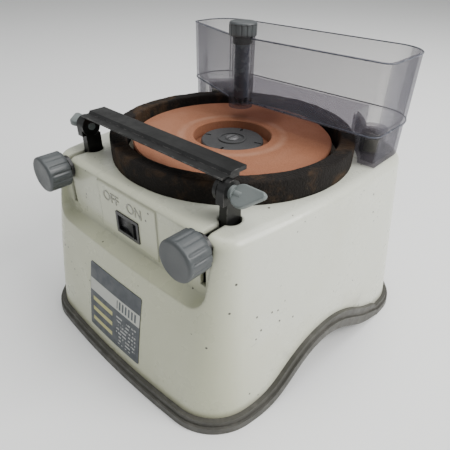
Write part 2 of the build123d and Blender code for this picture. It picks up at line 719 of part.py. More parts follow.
with BuildPart() as capacitor_clip:
    with BuildSketch(Plane.XY.offset(28)):
        with Locations((CAP_X, CAP_Y)):
            Circle(CAP_RADIUS + 1.1)
        with Locations((CAP_X + CAP_RADIUS + 4.5, CAP_Y)):
            Rectangle(10, 1.2)
        with Locations((CAP_X, CAP_Y)):
            Circle(CAP_RADIUS + 0.1, mode=Mode.SUBTRACT)
    extrude(amount=12)
    with BuildSketch(Plane.XY.offset(FLOOR_Z)):
        with Locations((CAP_X + CAP_RADIUS + 6.5, CAP_Y)):
            Rectangle(6, 1.2)
    extrude(amount=28 - FLOOR_Z)
    with BuildSketch(Plane.XY.offset(FLOOR_Z)):
        with Locations((CAP_X + CAP_RADIUS + 6.5, CAP_Y)):
            Rectangle(10, 12)
    extrude(amount=1.2)
finish(capacitor_clip, "capacitor_clip")

BLOCK_X = 38.0
BLOCK_Y = -82.0
with BuildPart() as terminal_block:
    with BuildSketch(Plane.XY.offset(FLOOR_Z)):
        with Locations((BLOCK_X, BLOCK_Y)):
            Rectangle(44, 18)
    extrude(amount=9)
    with BuildSketch(Plane.XY.offset(FLOOR_Z)):
        with Locations((BLOCK_X, BLOCK_Y)):
            with GridLocations(11, 1, 5, 1):
                Rectangle(1.4, 18)
            with GridLocations(11, 1, 4, 1):
                Rectangle(10, 8)
    extrude(amount=15)
finish(terminal_block, "terminal_block")
with BuildPart() as terminal_screws:
    with BuildSketch(Plane.XY.offset(FLOOR_Z + 15)):
        with Locations((BLOCK_X, BLOCK_Y)):
            with GridLocations(11, 1, 4, 1):
                Circle(2.6)
    extrude(amount=1.6)
    with BuildSketch(Plane.XY.offset(FLOOR_Z + 15.6)):
        with Locations((BLOCK_X, BLOCK_Y)):
            with GridLocations(11, 1, 4, 1):
                Rectangle(6, 0.8)
    extrude(amount=2, mode=Mode.SUBTRACT)
finish(terminal_screws, "terminal_screws")

# ---- Rocker switch: left half pressed in for off, right half for on ----
SWITCH_X = -0.5
SWITCH_Z = 134.5
PLATE_FACE_Y = PANEL_Y - PLATE_PROUD
PIVOT_Y = -114.5
ROCKER_TILT = 9.0
PLATE_FACE = Plane(origin=(SWITCH_X, PLATE_FACE_Y, SWITCH_Z), x_dir=(1, 0, 0), z_dir=(0, -1, 0))
with BuildPart() as switch_body:
    with BuildSketch(PLATE_FACE.offset(0.05)):
        RectangleRounded(29.5, 20.0, 1.0)
    extrude(amount=0.9)
    with BuildSketch(PLATE_FACE.offset(0.05)):
        Rectangle(26.2, 17.2)
    extrude(amount=-20)
    with BuildSketch(PLATE_FACE.offset(0.95)):
        Rectangle(24.0, 14.2)
    extrude(amount=-16, mode=Mode.SUBTRACT)
    with BuildSketch(Plane.XY.offset(SWITCH_Z - 8.0)):
        with Locations((SWITCH_X, PIVOT_Y)):
            Circle(1.26)
    extrude(amount=16, mode=Mode.SUBTRACT)
    with BuildSketch(PLATE_FACE.offset(-19.95)):
        with GridLocations(8, 8, 2, 2):
            Rectangle(5, 0.8)
    extrude(amount=-7)
finish(switch_body, "switch_body")

with BuildPart() as rocker_blank:
    with BuildSketch(Plane.XY.offset(SWITCH_Z - 6.8)):
        with BuildLine():
            ThreePointArc((-10.6, -8.0), (-5.4, -6.6), (0, -6.2))
            ThreePointArc((0, -6.2), (5.4, -6.6), (10.6, -8.0))
            Polyline((10.6, -8.0), (10.2, -2.5), (4.5, 2.0), (-4.5, 2.0), (-10.2, -2.5), (-10.6, -8.0))
        make_face()
    extrude(amount=13.6)
    with BuildSketch(Plane.XY.offset(SWITCH_Z - 7.8)):
        Circle(1.2)
    extrude(amount=15.6)
rocker_form = rocker_blank.part.moved(Location((SWITCH_X, PIVOT_Y, 0), (0, 0, -ROCKER_TILT)))
with BuildPart() as switch_rocker:
    add(rocker_form)
finish(switch_rocker, "switch_rocker")

# ---- Tool rest brackets: flat plates that stand in the slots ----
HEAD_RADIUS = 8.2
HEAD_LOW_Z = 183.0
FOOT_FRONT_Y = PANEL_Y + WALL + 0.2
FOOT_REAR_Y = FOOT_FRONT_Y + 4.0
FOOT_LOW_Z = 142.0
FOOT_HIGH_Z = 155.5
FOOT_WIDTH = 20.0
TILT_BORE = 3.05
for side_name, side in (("left", -1), ("right", 1)):
    with BuildPart() as bracket:
        with BuildSketch(SIDE.offset(side * POST_X)):
            with Locations((POST_Y, (FOOT_LOW_Z + HEAD_LOW_Z) / 2)):
                Rectangle(POST_REAR_Y - POST_FRONT_Y, HEAD_LOW_Z - FOOT_LOW_Z)
            with Locations((TILT_Y, TILT_Z)):
                Circle(HEAD_RADIUS)
            with Locations((TILT_Y, (HEAD_LOW_Z + TILT_Z) / 2)):
                Rectangle(2 * HEAD_RADIUS, TILT_Z - HEAD_LOW_Z)
            with Locations(((FOOT_FRONT_Y + POST_Y) / 2, (FOOT_LOW_Z + FOOT_HIGH_Z) / 2)):
                Rectangle(POST_Y - FOOT_FRONT_Y, FOOT_HIGH_Z - FOOT_LOW_Z)
        extrude(amount=POST_THICKNESS / 2, both=True)
        with BuildSketch(Plane.XY.offset(FOOT_LOW_Z)):
            with Locations((side * POST_X, (FOOT_FRONT_Y + FOOT_REAR_Y) / 2)):
                Rectangle(FOOT_WIDTH, FOOT_REAR_Y - FOOT_FRONT_Y)
        extrude(amount=FOOT_HIGH_Z - FOOT_LOW_Z)
        with BuildSketch(PANEL):
            with Locations((side * POST_X, KNOB_Z)):
                Circle(2.5)
        extrude(amount=-26, mode=Mode.SUBTRACT)
        with BuildSketch(SIDE.offset(side * POST_X)):
            with Locations((TILT_Y, TILT_Z)):
                Circle(TILT_BORE)
        extrude(amount=10, both=True, mode=Mode.SUBTRACT)
    finish(bracket, f"rest_bracket_{side_name}")

# ---- Tool rest bar: a plate with a lower front strip, and an ear just inside each bracket ----
EAR_OUTSIDE = POST_X - POST_THICKNESS / 2 - 0.1
EAR_THICKNESS = 3.0
EAR_RADIUS = 8.6
with BuildPart() as tool_rest_bar:
    with BuildSketch(SIDE.offset(-BAR_HALF_X)):
        with BuildLine():
            Polyline(
                (BAR_FRONT_Y, BAR_UNDER_Z), (BAR_FRONT_Y, BAR_STRIP_Z), (-94.6, BAR_STRIP_Z),
                (-93.0, BAR_TOP_Z), (BAR_REAR_Y, BAR_TOP_Z), (BAR_REAR_Y, BAR_UNDER_Z), close=True,
            )
        make_face()
    extrude(amount=2 * BAR_HALF_X)
    fillet(tool_rest_bar.edges().filter_by(Axis.X).group_by(Axis.Z)[-1], 0.5)
    for side in (-1, 1):
        with BuildSketch(SIDE.offset(side * EAR_OUTSIDE)):
            with Locations((TILT_Y, TILT_Z)):
                Circle(EAR_RADIUS)
            with Locations(((TILT_Y + BAR_REAR_Y) / 2 - 2, BAR_UNDER_Z - 2.0)):
                Rectangle(BAR_REAR_Y - TILT_Y - 4, 4.0)
            with Locations((TILT_Y, (TILT_Z + BAR_UNDER_Z) / 2)):
                Rectangle(7.0, BAR_UNDER_Z - TILT_Z)
            with Locations((TILT_Y, TILT_Z)):
                Circle(TILT_BORE, mode=Mode.SUBTRACT)
        extrude(amount=-side * EAR_THICKNESS)
finish(tool_rest_bar, "tool_rest_bar")

# ---- Wing screws: a round shank through ear and bracket, and an egg-shaped flat grip ----
GRIP_X = 96.0
GRIP_RADIUS = 8.2
GRIP_THICKNESS = 4.6
TIP_RADIUS = 2.6
TIP_SPOT = (13.2, 5.7)
SHANK_INSIDE = 76.0
SHANK_RADIUS = 3.0
COLLAR_X = POST_X + POST_THICKNESS / 2 + 0.1
with BuildPart() as grip_blank:
    with BuildSketch():
        with BuildLine():
            CenterArc((0, 0), GRIP_RADIUS, 0, 360)
            CenterArc(TIP_SPOT, TIP_RADIUS, 0, 360)
        make_hull()
    extrude(amount=GRIP_THICKNESS / 2, both=True)
    fillet(grip_blank.faces().filter_by(Axis.Z).edges(), 1.2)
for side_name, side, grip_normal in (("left", -1, (0, 0, -1)), ("right", 1, (0, -1, 1))):
    grip_plane = Plane(origin=(side * GRIP_X, TILT_Y, TILT_Z), x_dir=(side, 0, 0), z_dir=grip_normal)
    grip = grip_blank.part.moved(grip_plane.location)
    with BuildPart() as wing:
        add(grip)
        with BuildSketch(SIDE.offset(side * SHANK_INSIDE)):
            with Locations((TILT_Y, TILT_Z)):
                Circle(SHANK_RADIUS)
        extrude(amount=side * (GRIP_X - SHANK_INSIDE))
        with BuildSketch(SIDE.offset(side * COLLAR_X)):
            with Locations((TILT_Y, TILT_Z)):
                Circle(5.0)
        extrude(amount=side * 2.4)
    finish(wing, f"wing_screw_{side_name}")

# ---- Clamp knobs: fluted knob, steel stud and washer on each bracket ----
KNOB_FRONT_Y = -146.5
KNOB_BACK_Y = -126.5
HUB_BACK_Y = -124.0
HUB_RADIUS = 9.0
WASHER_RADIUS = 10.0
WASHER_FRONT_Y = -123.9
WASHER_BACK_Y = -121.1
STUD_REACH = 97.0
for side_name, side in (("left", -1), ("right", 1)):
    knob_axis = Plane(origin=(side * POST_X, 0, KNOB_Z), x_dir=(1, 0, 0), z_dir=(0, -1, 0))
    with BuildPart() as knob:
        with BuildSketch(knob_axis.offset(-KNOB_BACK_Y)):
            Circle(KNOB_RADIUS)
        extrude(amount=KNOB_BACK_Y - KNOB_FRONT_Y)
        fillet(knob.edges().sort_by(Axis.Y)[0], 2.5)
        chamfer(knob.edges().sort_by(Axis.Y)[-1], 0.8)
        with BuildSketch(knob_axis.offset(-KNOB_BACK_Y - 1)):
            with PolarLocations(KNOB_RADIUS + 0.5, 14):
                Circle(1.1)
        extrude(amount=KNOB_BACK_Y - KNOB_FRONT_Y - 2, mode=Mode.SUBTRACT)
        with BuildSketch(knob_axis.offset(-HUB_BACK_Y)):
            Circle(HUB_RADIUS)
        extrude(amount=HUB_BACK_Y - KNOB_BACK_Y)
        with BuildSketch(knob_axis.offset(-HUB_BACK_Y)):
            Circle(2.45)
        extrude(amount=13, mode=Mode.SUBTRACT)
    finish(knob, f"clamp_knob_{side_name}")
    with BuildPart() as stud:
        with BuildSketch(knob_axis.offset(STUD_REACH)):
            Circle(2.45)
        extrude(amount=-HUB_BACK_Y + 13 - STUD_REACH)
    finish(stud, f"clamp_stud_{side_name}")
    with BuildPart() as washer:
        with BuildSketch(knob_axis.offset(-WASHER_BACK_Y)):
            Circle(WASHER_RADIUS)
            Circle(2.55, mode=Mode.SUBTRACT)
        extrude(amount=WASHER_BACK_Y - WASHER_FRONT_Y)
    finish(washer, f"clamp_washer_{side_name}")

# ---- Water tank: deep wells behind the ring on both sides, a shallow bridge over the stone ----
TANK_LEFT = -119.0
TANK_RIGHT = 119.5
TANK_FRONT_Y = 37.0
TANK_REAR_Y = 118.0
WELL_CLEAR_RADIUS = 113.5
WELL_HALF_GAP = 72.0
WELL_FRONT_Y = 49.0


def tank_outline(height, inset):
    """Plan outline of the tank's wall."""
    with BuildSketch(Plane.XY.offset(height)) as shape:
        with BuildLine():
            Polyline(
                (TANK_LEFT, 67), (-38, TANK_FRONT_Y), (TANK_RIGHT, TANK_FRONT_Y), (TANK_RIGHT, TANK_REAR_Y),
                (TANK_LEFT, TANK_REAR_Y), close=True,
            )
        make_face()
        fillet(shape.vertices().group_by(Axis.Y)[-1], 31)
        fillet(shape.vertices().group_by(Axis.Y)[0].sort_by(Axis.X)[-1], 8.5)
        fillet(shape.vertices().group_by(Axis.X)[0].sort_by(Axis.Y)[0], 9)
        offset(amount=-inset, kind=Kind.INTERSECTION)
    return shape.sketch


def tank_well(low, high, inset):
    """The two wells, outside the splash ring and clear of the bridge."""
    block = extrude(tank_outline(low, inset), amount=high - low)
    ring_space = disc(0, 0, WELL_CLEAR_RADIUS + inset - 1.2, low, high)
    half_gap = WELL_HALF_GAP + inset
    gap = Box(2 * half_gap, 300, high - low, align=(Align.CENTER, Align.CENTER, Align.MIN))
    front = Box(300, 100, high - low, align=(Align.CENTER, Align.MAX, Align.MIN))
    front_y = WELL_FRONT_Y + inset - 1.2
    return block - ring_space - gap.moved(Location((0, 0, low))) - front.moved(Location((0, front_y, low)))


tank_block = extrude(tank_outline(TANK_UNDER_Z, 0.0), amount=TANK_RIM_Z - TANK_UNDER_Z)
tank_hollow = extrude(tank_outline(TANK_FLOOR_Z, TANK_WALL), amount=80)
well_block = tank_well(TANK_FOOT_Z, TANK_UNDER_Z, 1.2)
well_hollow = tank_well(TANK_FOOT_Z + TANK_WALL, TANK_FLOOR_Z, 1.2 + TANK_WALL)
with BuildPart() as water_tank:
    add(tank_block)
    add(well_block)
    add(tank_hollow, mode=Mode.SUBTRACT)
    add(well_hollow, mode=Mode.SUBTRACT)
    # cups over the deck pegs
    with BuildSketch(Plane.XY.offset(TANK_FOOT_Z)):
        with Locations((PEG_X, PEG_Y), (-PEG_X, PEG_Y)):
            Circle(PEG_RADIUS + 3.0)
    extrude(amount=21)
    with BuildSketch(Plane.XY.offset(TANK_FOOT_Z - 1)):
        with Locations((PEG_X, PEG_Y), (-PEG_X, PEG_Y)):
            Circle(PEG_RADIUS + 0.6)
    extrude(amount=19.6, mode=Mode.SUBTRACT)
    # valve tube in the front wall
    with BuildSketch(Plane.XY.offset(TUBE_LOW_Z)):
        with Locations((TUBE_X, TUBE_Y)):
            Circle(TUBE_RADIUS)
    extrude(amount=TANK_RIM_Z - TUBE_LOW_Z)
    with BuildSketch(Plane.XY.offset(TUBE_SEAT_Z)):
        with Locations((TUBE_X, TUBE_Y)):
            Circle(TUBE_BORE)
    extrude(amount=80, mode=Mode.SUBTRACT)
    with BuildSketch(Plane.XY.offset(TUBE_LOW_Z - 5)):
        with Locations((TUBE_X, TUBE_Y)):
            Circle(1.5)
    extrude(amount=10, mode=Mode.SUBTRACT)
    with BuildSketch(Plane.XZ.offset(-TUBE_Y - 4)):
        with Locations((TUBE_X, 203.0)):
            Circle(2.5)
    extrude(amount=-10, mode=Mode.SUBTRACT)
finish(water_tank, "water_tank")

with BuildPart() as valve_bushing:
    with BuildSketch(Plane.XY.offset(249.0)):
        with Locations((TUBE_X, TUBE_Y)):
            Circle(TUBE_BORE)
            Circle(7.15, mode=Mode.SUBTRACT)
    extrude(amount=6.0)
finish(valve_bushing, "valve_bushing")

NEEDLE_Z = 196.3
valve_stem_form = turned([
    (0, NEEDLE_Z), (3.0, NEEDLE_Z), (7.1, NEEDLE_Z + 4), (7.1, 254.0), (3.95, 254.5), (3.95, 261.0),
    (0, 261.0),
])
with BuildPart() as valve_stem:
    add(valve_stem_form.moved(Location((TUBE_X, TUBE_Y, 0))))
finish(valve_stem, "valve_stem")

NEEDLE_LOW_Z = TUBE_SEAT_Z + 0.1
valve_tip_form = turned([
    (0, NEEDLE_LOW_Z), (2.2, NEEDLE_LOW_Z), (2.8, NEEDLE_LOW_Z + 0.9), (2.8, NEEDLE_Z), (0, NEEDLE_Z),
])
with BuildPart() as valve_tip:
    add(valve_tip_form.moved(Location((TUBE_X, TUBE_Y, 0))))
finish(valve_tip, "valve_tip")

with BuildPart() as valve_knob:
    with BuildSketch(Plane.XY.offset(255.6)):
        with Locations((TUBE_X, TUBE_Y)):
            Circle(12.8)
    extrude(amount=11.9)
    fillet(valve_knob.edges().sort_by(Axis.Z)[-1], 1.6)
    with BuildSketch(Plane.XY.offset(255.0)):
        with Locations((TUBE_X, TUBE_Y)):
            with PolarLocations(13.2, 16):
                Circle(0.95)
    extrude(amount=10.6, mode=Mode.SUBTRACT)
    with BuildSketch(Plane.XY.offset(255.0)):
        with Locations((TUBE_X, TUBE_Y)):
            Circle(7.4)
    extrude(amount=3.0, mode=Mode.SUBTRACT)
    with BuildSketch(Plane.XY.offset(255.0)):
        with Locations((TUBE_X, TUBE_Y)):
            Circle(4.0)
    extrude(amount=10.6, mode=Mode.SUBTRACT)
finish(valve_knob, "valve_knob")

# ---- Drain hose from the basin spout to the rear wall ----
with BuildPart() as drain_hose:
    with BuildLine() as hose_path:
        Line((62, 62, 140), (62, 62, 126))
        Spline((62, 62, 126), (62, 77, 106), (62, 102, 104), tangents=((0, 0, -1), (0, 1, 0)))
        Line((62, 102, 104), (62, 128, 104))
    with BuildSketch(Plane(origin=(62, 62, 140), z_dir=(0, 0, -1))):
        Circle(6.6)
        Circle(5.05, mode=Mode.SUBTRACT)
    sweep()
finish(drain_hose, "drain_hose")

# ---- Mains cord: inside run, grommet in the rear wall, and a folded length behind the machine ----
CORD_RADIUS = 3.3
CORD_Z = CORD_RADIUS + 0.1
FOLD_LEFT = -84.0
FOLD_RIGHT = 4.0
FOLD_PITCH = 8.4
PLUG_WIDTH = 21.0
PLUG_X = -96.0
FOLD_Y = DECK_FRONT_Y + FLARE_FRONT + TRIM_PROUD - PLUG_WIDTH / 2 - 2 * FOLD_PITCH
with BuildPart() as cord_grommet:
    with BuildSketch(Plane.XZ.offset(-113)):
        with Locations((40, 80)):
            Circle(9.5)
            Circle(CORD_RADIUS + 0.05, mode=Mode.SUBTRACT)
    extrude(amount=-3)
    with BuildSketch(Plane.XZ.offset(-116)):
        with Locations((40, 80)):
            Circle(6.9)
            Circle(CORD_RADIUS + 0.05, mode=Mode.SUBTRACT)
    extrude(amount=-20)
    with BuildSketch(Plane.XZ.offset(-124)):
        with Locations((40, 80)):
            Circle(9.5)
            Circle(CORD_RADIUS + 0.05, mode=Mode.SUBTRACT)
    extrude(amount=-3)
finish(cord_grommet, "cord_grommet")

with BuildPart() as power_cord:
    with BuildLine() as cord_path:
        Spline(
            (42, BLOCK_Y + 9.4, FLOOR_Z + 5), (42, -40, 13), (42, 30, 20), (40, 80, 72), (40, 112, 80),
            tangents=((0, 1, 0), (0, 1, 0)),
        )
        Line((40, 112, 80), (40, 137, 80))
        Spline(
            (40, 137, 80), (40, 147, 50), (36, 139, 13), (18, FOLD_Y, CORD_Z),
            tangents=((0, 1, 0), (-1, 0, 0)),
        )
        Line((18, FOLD_Y, CORD_Z), (FOLD_LEFT, FOLD_Y, CORD_Z))
        ThreePointArc(
            (FOLD_LEFT, FOLD_Y, CORD_Z),
            (FOLD_LEFT - FOLD_PITCH / 2, FOLD_Y + FOLD_PITCH / 2, CORD_Z),
            (FOLD_LEFT, FOLD_Y + FOLD_PITCH, CORD_Z),
        )
        Line((FOLD_LEFT, FOLD_Y + FOLD_PITCH, CORD_Z), (FOLD_RIGHT, FOLD_Y + FOLD_PITCH, CORD_Z))
        ThreePointArc(
            (FOLD_RIGHT, FOLD_Y + FOLD_PITCH, CORD_Z),
            (FOLD_RIGHT + FOLD_PITCH / 2, FOLD_Y + FOLD_PITCH * 1.5, CORD_Z),
            (FOLD_RIGHT, FOLD_Y + FOLD_PITCH * 2, CORD_Z),
        )
        Line((FOLD_RIGHT, FOLD_Y + FOLD_PITCH * 2, CORD_Z), (PLUG_X, FOLD_Y + FOLD_PITCH * 2, CORD_Z))
    with BuildSketch(Plane(origin=(42, BLOCK_Y + 9.4, FLOOR_Z + 5), z_dir=(0, 1, 0))):
        Circle(CORD_RADIUS)
    sweep(transition=Transition.ROUND)
finish(power_cord, "power_cord")

PLUG_Y = FOLD_Y + 2 * FOLD_PITCH
with BuildPart() as power_plug:
    with BuildSketch(Plane(origin=(PLUG_X - 0.1, PLUG_Y, 7.6), x_dir=(0, 1, 0), z_dir=(-1, 0, 0))):
        RectangleRounded(10, 10, 3)
    with BuildSketch(Plane(origin=(PLUG_X - 12, PLUG_Y, 7.6), x_dir=(0, 1, 0), z_dir=(-1, 0, 0))):
        RectangleRounded(PLUG_WIDTH, 15, 4)
    loft()
    with BuildSketch(Plane(origin=(PLUG_X - 12, PLUG_Y, 7.6), x_dir=(0, 1, 0), z_dir=(-1, 0, 0))):
        RectangleRounded(PLUG_WIDTH, 15, 4)
    extrude(amount=13)
    with BuildSketch(Plane(origin=(PLUG_X - 25, PLUG_Y, 7.6), x_dir=(0, 1, 0), z_dir=(-1, 0, 0))):
        with GridLocations(12.7, 1, 2, 1):
            Rectangle(1.5, 6.3)
    extrude(amount=17)
finish(power_plug, "power_plug")

# ---- Wiring: leads from the terminal block to the switch, the motor and the capacitor ----
LEAD_RADIUS = 1.3
LEAD_Z = FLOOR_Z + 11.0
with BuildPart() as wiring:
    for start, middle, end, last in (
        ((21.5, BLOCK_Y - 9.4, LEAD_Z), (12, -104, 60), (3.5, -94.9, 134.5), (0, -1, 0)),
        ((32.5, BLOCK_Y - 9.4, LEAD_Z), (10, -110, 40), (-4.5, -94.9, 134.5), (0, -1, 0)),
    ):
        with BuildLine():
            Spline(start, middle, end, tangents=((0, -1, 0), last))
        with BuildSketch(Plane(origin=start, z_dir=(0, -1, 0))):
            Circle(LEAD_RADIUS)
        sweep()
finish(wiring, "wiring")
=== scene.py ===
import json
from math import cos, exp, pi, sin, tan, tau

import bpy
from mathutils import Euler, Matrix, Vector, noise


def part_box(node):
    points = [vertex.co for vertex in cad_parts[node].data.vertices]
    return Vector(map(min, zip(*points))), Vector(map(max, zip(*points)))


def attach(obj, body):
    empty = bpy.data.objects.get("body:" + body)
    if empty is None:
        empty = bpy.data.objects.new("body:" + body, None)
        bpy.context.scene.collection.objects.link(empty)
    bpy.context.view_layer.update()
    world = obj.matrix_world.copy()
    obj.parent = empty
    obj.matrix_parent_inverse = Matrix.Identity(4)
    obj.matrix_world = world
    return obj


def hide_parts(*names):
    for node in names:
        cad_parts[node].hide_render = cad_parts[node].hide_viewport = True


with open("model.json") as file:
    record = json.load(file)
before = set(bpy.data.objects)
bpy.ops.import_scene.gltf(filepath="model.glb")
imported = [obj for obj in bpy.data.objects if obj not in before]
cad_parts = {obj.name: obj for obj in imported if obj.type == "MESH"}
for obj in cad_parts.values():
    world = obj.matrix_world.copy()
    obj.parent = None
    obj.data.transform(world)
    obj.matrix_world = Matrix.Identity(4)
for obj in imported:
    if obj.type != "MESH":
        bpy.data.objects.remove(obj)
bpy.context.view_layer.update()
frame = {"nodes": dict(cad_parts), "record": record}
MM = 0.001
NODES = frame["nodes"]


# ---------------------------------------------------------------------------
# Node material helpers
# ---------------------------------------------------------------------------
class Shader:
    """A node material, whose methods add nodes and return an output socket to build on."""

    def __init__(self, name):
        self.material = bpy.data.materials.new(name)
        self.material.use_nodes = True
        self.tree = self.material.node_tree
        self.tree.nodes.clear()
        self.output = self.node("OutputMaterial")
        self.bsdf = self.node("BsdfPrincipled")
        self.tree.links.new(self.bsdf.outputs[0], self.output.inputs["Surface"])
        self.position = self.node("TexCoord").outputs["Object"]

    def node(self, kind, **values):
        """A new node, with its inputs linked or set by name."""
        made = self.tree.nodes.new("ShaderNode" + kind)
        for name, value in values.items():
            self.link(value, made.inputs[name])
        return made

    def link(self, source, target):
        """Feed an input from a socket, or set it to a number or a colour."""
        if isinstance(source, (int, float)):
            target.default_value = source
        elif isinstance(source, tuple):
            target.default_value = (*source, 1.0)
        else:
            self.tree.links.new(source, target)

    def set(self, **values):
        """Principled inputs by name, with underscores for spaces."""
        for key, value in values.items():
            self.link(value, self.bsdf.inputs[key.replace("_", " ")])

    def stretch(self, scale, rotation=(0, 0, 0)):
        node = self.node("Mapping", Vector=self.position)
        node.inputs["Scale"].default_value = scale
        node.inputs["Rotation"].default_value = rotation
        return node.outputs[0]

    def noise(self, scale, detail=4.0, roughness=0.55, distortion=0.0, vector=None):
        node = self.node(
            "TexNoise", Vector=vector or self.position, Scale=scale, Detail=detail,
            Roughness=roughness, Distortion=distortion,
        )
        return node.outputs["Fac"]

    def cells(self, scale):
        return self.node("TexVoronoi", Vector=self.position, Scale=scale).outputs["Distance"]

    def wave(self, scale, distortion=0.0, kind="BANDS", direction="X"):
        node = self.node("TexWave", Vector=self.position, Scale=scale, Distortion=distortion, Detail=2.0)
        node.wave_type = kind
        if kind == "BANDS":
            node.bands_direction = direction
        else:
            node.rings_direction = direction
        return node.outputs["Fac"]

    def ramp(self, value, first, last):
        """Smooth step of value between two (position, grey) stops."""
        node = self.node("ValToRGB")
        node.color_ramp.interpolation = "EASE"
        for element, (place, grey) in zip(node.color_ramp.elements, (first, last)):
            element.position = place
            element.color = (grey, grey, grey, 1)
        self.link(value, node.inputs[0])
        return node.outputs[0]

    def mix(self, factor, first, second):
        node = self.node("Mix")
        node.data_type = "RGBA"
        for index, value in ((0, factor), (6, first), (7, second)):
            self.link(value, node.inputs[index])
        return node.outputs[2]

    def math(self, operation, first, second=0.0, clamp=False):
        node = self.node("Math")
        node.operation = operation
        node.use_clamp = clamp
        self.link(first, node.inputs[0])
        self.link(second, node.inputs[1])
        return node.outputs[0]

    def times(self, first, second):
        return self.math("MULTIPLY", first, second)

    def axis(self, name, vector=None):
        node = self.node("SeparateXYZ", Vector=vector or self.position)
        return node.outputs[name]

    def step(self, value, low, high, first, last):
        """Smooth change from first at low to last at high."""
        node = self.node("MapRange")
        node.interpolation_type = "SMOOTHSTEP"
        for index, number in enumerate((value, low, high, first, last)):
            self.link(number, node.inputs[index])
        return node.outputs[0]

    def span(self, value, low, high, soft=0.0003):
        """1 where value lies between low and high, with soft ends."""
        rise = self.step(value, low - soft, low + soft, 0.0, 1.0)
        fall = self.step(value, high - soft, high + soft, 1.0, 0.0)
        return self.times(rise, fall)

    def radius(self, x=0.0, y=0.0):
        """Distance from an upright axis."""
        dx = self.math("SUBTRACT", self.axis("X"), x)
        dy = self.math("SUBTRACT", self.axis("Y"), y)
        return self.math("SQRT", self.math("ADD", self.times(dx, dx), self.times(dy, dy)))

    def rounded_normal(self, radius, samples):
        """Normal that rounds every edge off over the given radius."""
        bevel = self.node("Bevel", Radius=radius)
        bevel.samples = samples
        return bevel.outputs[0]

    def edge_wear(self, width):
        """Bright on edges, where the rounded normal leaves the true one."""
        dot = self.node("VectorMath")
        dot.operation = "DOT_PRODUCT"
        self.link(self.rounded_normal(width, 4), dot.inputs[0])
        self.link(self.node("NewGeometry").outputs["Normal"], dot.inputs[1])
        return self.ramp(dot.outputs["Value"], (0.75, 1.0), (0.985, 0.0))

    def bump(self, height, strength, distance, normal=None):
        node = self.node("Bump", Height=height, Strength=strength, Distance=distance)
        if normal is not None:
            self.link(normal, node.inputs["Normal"])
        return node.outputs[0]


# ---------------------------------------------------------------------------
# Materials
# ---------------------------------------------------------------------------
def enamel():
    """Cream moulded housing: yellowed patches, grey patches denser towards the bottom, painted shade on the
    front face and along the bottom edge, dark specks, hairline scuffs.
    """
    s = Shader("housing_enamel")
    cream = (0.63, 0.645, 0.555)
    yellowed = (0.57, 0.575, 0.455)
    colour = s.mix(s.ramp(s.noise(9, 3), (0.40, 0.0), (0.70, 0.8)), cream, yellowed)
    # Painted shade: the front face is coloured darker and greener than the sides.
    front = s.ramp(s.times(s.axis("Y"), -1.0), (0.09, 0.0), (0.14, 0.85))
    colour = s.mix(front, colour, (0.455, 0.465, 0.315))
    # Grey noise patches, strongest at the bottom and fading out upwards.
    grey_patches = s.ramp(s.noise(24, 7, 0.7, 0.4), (0.56, 0.0), (0.76, 0.5))
    low = s.ramp(s.axis("Z"), (0.0, 1.0), (0.12, 0.20))
    colour = s.mix(s.times(grey_patches, low), colour, (0.20, 0.20, 0.17))
    # Painted shade: a dark brown band along the bottom edge, broken up by noise.
    bottom_edge_shade = s.times(s.span(s.axis("Z"), -0.01, 0.014, 0.006), s.noise(40, 4))
    colour = s.mix(bottom_edge_shade, colour, (0.17, 0.15, 0.11))
    specks = s.ramp(s.cells(95), (0.07, 1.0), (0.11, 0.0))
    speck_mask = s.times(specks, s.ramp(s.noise(31, 2), (0.52, 0.0), (0.58, 1.0)))
    colour = s.mix(speck_mask, colour, (0.05, 0.045, 0.035))
    slanted = s.stretch((1.0, 0.25, 3.0), (0.5, 0.3, 0.2))
    scuff = s.ramp(s.noise(60, 5, 0.8, 0.2, slanted), (0.64, 0.0), (0.70, 1.0))
    scuff = s.times(scuff, s.ramp(s.noise(12, 2), (0.50, 0.0), (0.58, 1.0)))
    colour = s.mix(s.times(scuff, 0.4), colour, (0.16, 0.16, 0.15))
    rough = s.mix(scuff, s.ramp(s.noise(40, 6), (0.3, 0.24), (0.7, 0.40)), (0.6, 0.6, 0.6))
    s.set(Base_Color=colour, Roughness=rough, Specular_IOR_Level=0.5, Coat_Weight=0.25, Coat_Roughness=0.12)
    rounded = s.rounded_normal(0.003, 6)
    s.set(Normal=s.bump(s.noise(420, 2), 0.10, 0.0003, s.bump(speck_mask, 0.3, -0.0004, rounded)))
    return s.material


def trim_rubber():
    s = Shader("trim_rubber")
    dust = s.ramp(s.noise(70, 6, 0.7), (0.45, 0.0), (0.75, 0.55))
    colour = s.mix(dust, (0.055, 0.053, 0.045), (0.13, 0.125, 0.11))
    s.set(Base_Color=colour, Roughness=s.ramp(s.noise(90, 5), (0.3, 0.42), (0.7, 0.62)))
    s.set(Normal=s.bump(s.noise(900, 3), 0.25, 0.0004))
    return s.material


def ring_foam():
    """Dark foam ring: open pores, rusty stains and dried grit."""
    s = Shader("ring_foam")
    stain = s.ramp(s.noise(34, 6, 0.65, 0.6), (0.46, 0.0), (0.66, 1.0))
    colour = s.mix(stain, (0.008, 0.006, 0.005), (0.042, 0.024, 0.012))
    grit = s.ramp(s.noise(260, 4, 0.7), (0.62, 0.0), (0.76, 0.6))
    colour = s.mix(grit, colour, (0.060, 0.046, 0.032))
    pores = s.cells(620)
    s.set(Base_Color=colour, Roughness=0.88, Specular_IOR_Level=0.25)
    s.set(Normal=s.bump(pores, 0.7, 0.0007, s.bump(s.noise(120, 5), 0.5, 0.0012)))
    return s.material


